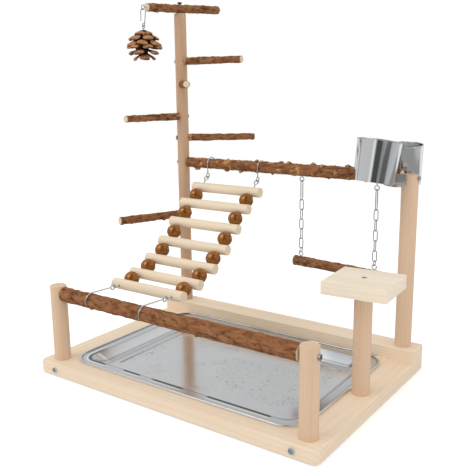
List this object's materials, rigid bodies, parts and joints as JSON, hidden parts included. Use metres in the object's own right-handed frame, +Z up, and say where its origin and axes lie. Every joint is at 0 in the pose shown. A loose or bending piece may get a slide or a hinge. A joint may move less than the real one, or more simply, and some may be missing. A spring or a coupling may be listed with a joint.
{
  "type": "parrot play stand",
  "caption": "Table-top parrot play stand: pine frame with steel tray, bark perches, rung-and-bead ladder, chain swing, hanging pine cone and steel feeding cups.",
  "frame": {"origin": "on the floor under the middle of the whole stand's box", "axes": "+Z up, +X to the right along the front rail, +Y to the back"},
  "size_m": [0.537, 0.4302, 0.5846],
  "materials": {
    "pine": "sanded bare pine",
    "bark": "rough natural bark",
    "swing_wood": "rough natural branch",
    "rung_wood": "bare beech dowel",
    "bead_wood": "glossy red-brown lacquer",
    "cone": "dry pine cone",
    "pad": "matte",
    "tray_steel": "satin sheet",
    "cup_steel": "bright",
    "holder_steel": "satin",
    "screw_steel": "zinc plated",
    "wire": "bright wire"
  },
  "bodies": {
    "stand": {"front_rail": "pine", "left_board": "pine", "right_board": "pine", "back_rail": "pine", "foot_pads": "pad", "post_front_left": "pine", "post_front_right": "pine", "post_back_right": "pine", "platform_post": "pine", "mast": "pine", "platform": "pine", "front_perch": "bark", "main_perch": "bark", "top_perch": "bark", "perch_upper_right": "bark", "perch_upper_front": "bark", "perch_middle_front": "bark", "perch_middle_back": "bark", "perch_lower_front": "bark", "rail_screws": "screw_steel", "floor_screws": "screw_steel", "platform_screw": "screw_steel", "top_perch_screw": "screw_steel", "mast_screws": "screw_steel", "post_screws": "screw_steel", "swing_eyes": "wire", "top_perch_eye": "wire", "cup_bolt": "screw_steel", "cup_nut": "screw_steel"},
    "tray": {"tray": "tray_steel"},
    "ladder": {"ladder_rung_1": "rung_wood", "ladder_rung_2": "rung_wood", "ladder_rung_3": "rung_wood", "ladder_rung_4": "rung_wood", "ladder_rung_5": "rung_wood", "ladder_rung_6": "rung_wood", "ladder_rung_7": "rung_wood", "ladder_beads_left": "bead_wood", "ladder_beads_right": "bead_wood", "ladder_wire_left": "wire", "ladder_wire_right": "wire", "ladder_hooks_top": "wire", "ladder_hooks_bottom": "wire"},
    "swing_chains": {"swing_long_links": "wire", "swing_chain_left": "wire", "swing_chain_right": "wire", "swing_rings": "wire"},
    "swing_bar": {"swing_perch": "swing_wood", "swing_perch_eyes": "wire"},
    "cone_clip": {"pinecone_clip": "wire"},
    "cone": {"pinecone": "cone", "pinecone_loop": "wire"},
    "holder_front": {"cup_holder_front": "holder_steel"},
    "holder_back": {"cup_holder_back": "holder_steel"},
    "cup_front": {"cup_front": "cup_steel", "cup_hook_front": "holder_steel"},
    "cup_back": {"cup_back": "cup_steel", "cup_hook_back": "holder_steel"}
  },
  "joints": [
    {"name": "tray_lift", "type": "slide", "parent": "stand", "child": "tray", "axis": [0, 0, 1], "range_m": [0, 0.06]},
    {"name": "ladder_lift", "type": "hinge", "parent": "stand", "child": "ladder", "pos_m": [-0.09547, 0.11181, 0.3035], "axis": [-1, 0, 0], "range_deg": [0, 35]},
    {"name": "swing_sway", "type": "hinge", "parent": "stand", "child": "swing_chains", "pos_m": [0.03703, 0.11181, 0.2845], "axis": [0.9994, 0, -0.0343], "range_deg": [-35, 35]},
    {"name": "swing_tip", "type": "hinge", "parent": "swing_chains", "child": "swing_bar", "pos_m": [0.03703, 0.11181, 0.16615], "axis": [0.9994, 0, -0.0343], "range_deg": [-30, 30]},
    {"name": "clip_sway", "type": "hinge", "parent": "stand", "child": "cone_clip", "pos_m": [-0.21718, 0.02195, 0.56364], "axis": [-0.0523, -0.9986, 0], "range_deg": [-35, 35]},
    {"name": "cone_sway", "type": "hinge", "parent": "cone_clip", "child": "cone", "pos_m": [-0.21718, 0.02195, 0.53679], "axis": [0.9986, -0.0523, 0], "range_deg": [-35, 35]},
    {"name": "holder_front_turn", "type": "hinge", "parent": "stand", "child": "holder_front", "pos_m": [0.18723, 0.11181, 0.3035], "axis": [0, 1, 0], "range_deg": [-20, 15]},
    {"name": "holder_back_turn", "type": "hinge", "parent": "stand", "child": "holder_back", "pos_m": [0.18723, 0.11181, 0.3035], "axis": [0, 1, 0], "range_deg": [-15, 20]},
    {"name": "cup_front_lift", "type": "slide", "parent": "holder_front", "child": "cup_front", "axis": [0.061, 0, 0.9981], "range_m": [0, 0.03]},
    {"name": "cup_back_lift", "type": "slide", "parent": "holder_back", "child": "cup_back", "axis": [0, 0, 1], "range_m": [0, 0.03]}
  ]
}
